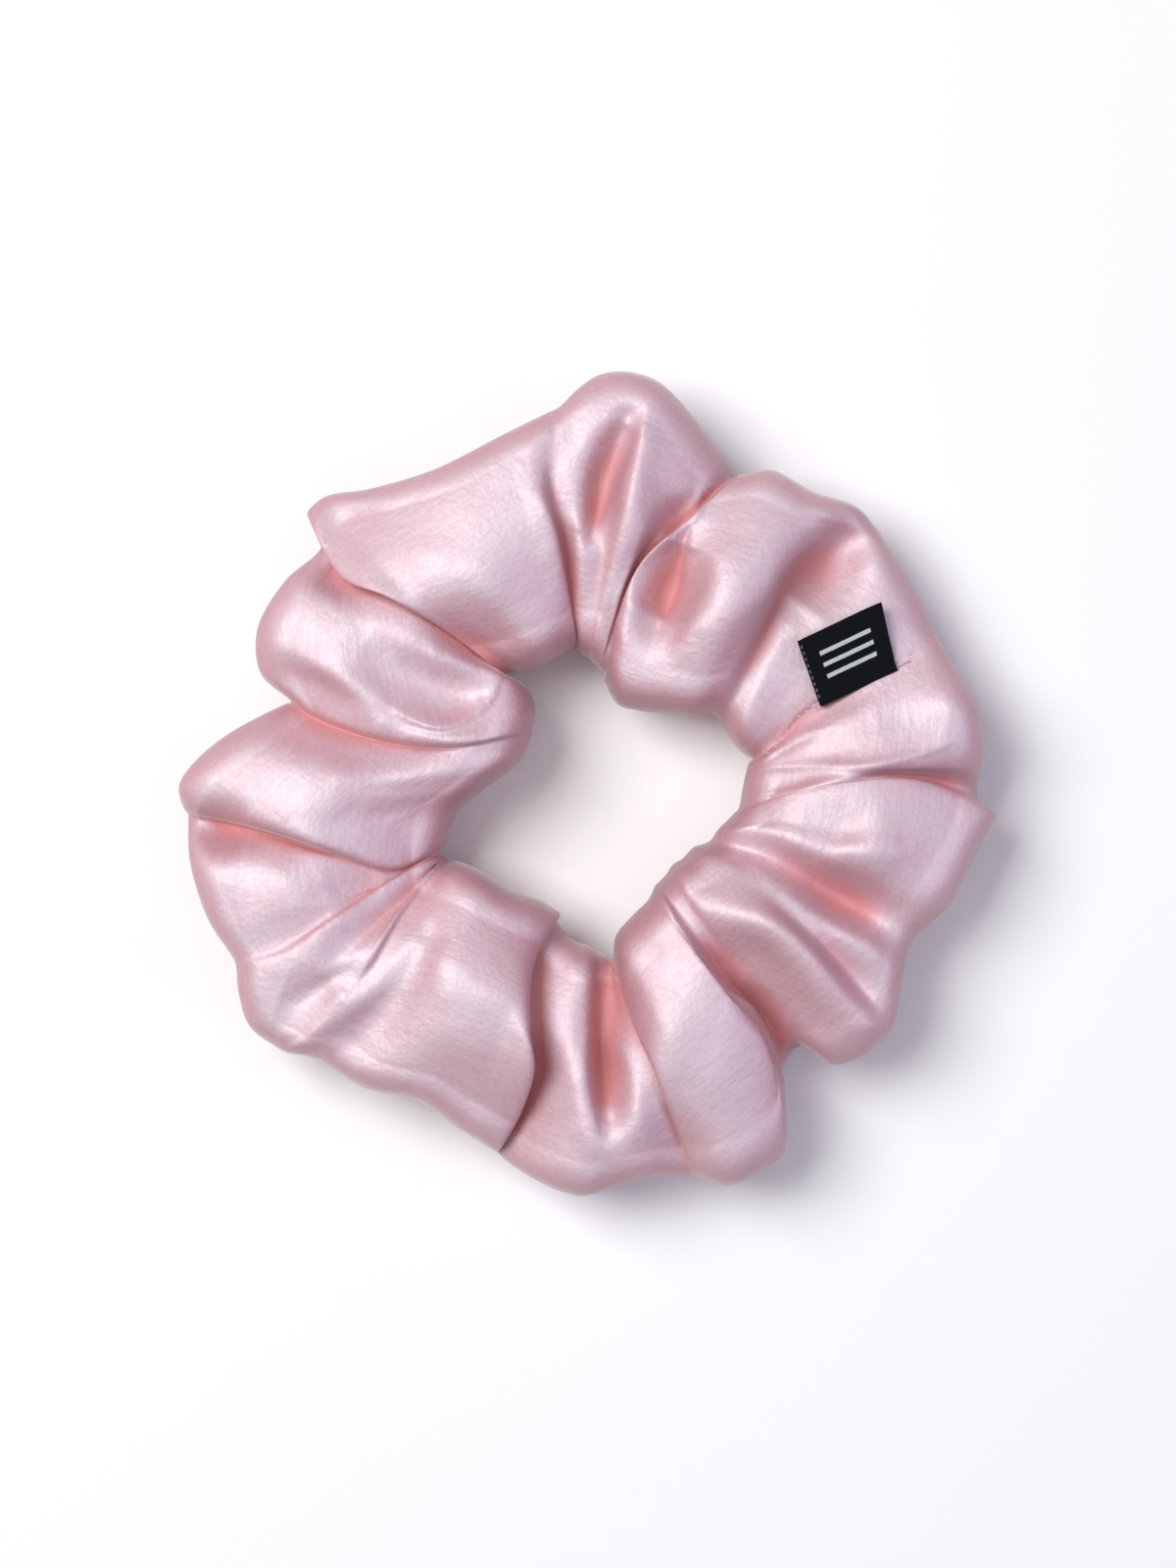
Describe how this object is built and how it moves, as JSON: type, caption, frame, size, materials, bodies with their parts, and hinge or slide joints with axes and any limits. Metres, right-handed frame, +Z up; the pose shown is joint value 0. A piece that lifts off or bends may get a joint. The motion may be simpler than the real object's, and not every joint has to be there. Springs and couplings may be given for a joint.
{
  "type": "scrunchie",
  "caption": "Large puffy satin hair tie: a gathered fabric ring round a hidden flat elastic, with a folded woven label at its side",
  "frame": {"origin": "on the surface that the ring lies on, under the middle of the ring's outline", "axes": "+Z up out of the hole, +X to the side that carries the label, +Y to the highest puff of the outline"},
  "size_m": [0.1157, 0.1165, 0.0255],
  "materials": {
    "satin": "satin",
    "seam_thread": "satin",
    "elastic": "matte",
    "join_thread": "matte",
    "label": "satin",
    "label_thread": "satin"
  },
  "bodies": {
    "left_side": {"cover_left": "satin", "elastic_band": "elastic", "elastic_join_thread": "join_thread", "tube_seam_thread": "seam_thread"},
    "top_left_side": {"cover_top_left": "satin"},
    "bottom_left_side": {"cover_bottom_left": "satin"},
    "top_right_side": {"cover_top_right": "satin"},
    "bottom_right_side": {"cover_bottom_right": "satin"},
    "right_side": {"cover_right": "satin", "closing_seam_thread": "seam_thread"},
    "label": {"woven_label": "label", "label_stitches": "label_thread"}
  },
  "joints": [
    {"name": "stretch", "type": "slide", "parent": "left_side", "child": "right_side", "axis": [1, 0, 0], "range_m": [0, 0.06], "stiffness_N_per_m": 60, "deforming": ["elastic_band", "tube_seam_thread"]},
    {"name": "stretch_top_left", "type": "slide", "parent": "left_side", "child": "top_left_side", "axis": [1, 0, 0], "range_m": [0, 0.015]},
    {"name": "stretch_bottom_left", "type": "slide", "parent": "left_side", "child": "bottom_left_side", "axis": [1, 0, 0], "range_m": [0, 0.018]},
    {"name": "stretch_top_right", "type": "slide", "parent": "left_side", "child": "top_right_side", "axis": [1, 0, 0], "range_m": [0, 0.054]},
    {"name": "stretch_bottom_right", "type": "slide", "parent": "left_side", "child": "bottom_right_side", "axis": [1, 0, 0], "range_m": [0, 0.057]},
    {"name": "label_lift", "type": "hinge", "parent": "right_side", "child": "label", "pos_m": [0.03821, 0.01411, 0.01785], "axis": [0.9041, 0.4274, 0], "range_deg": [0, 100]}
  ],
  "couplings": [
    {"joint": "stretch_top_left", "follows": "stretch", "ratio": 0.25},
    {"joint": "stretch_bottom_left", "follows": "stretch", "ratio": 0.3},
    {"joint": "stretch_top_right", "follows": "stretch", "ratio": 0.9},
    {"joint": "stretch_bottom_right", "follows": "stretch", "ratio": 0.95}
  ]
}
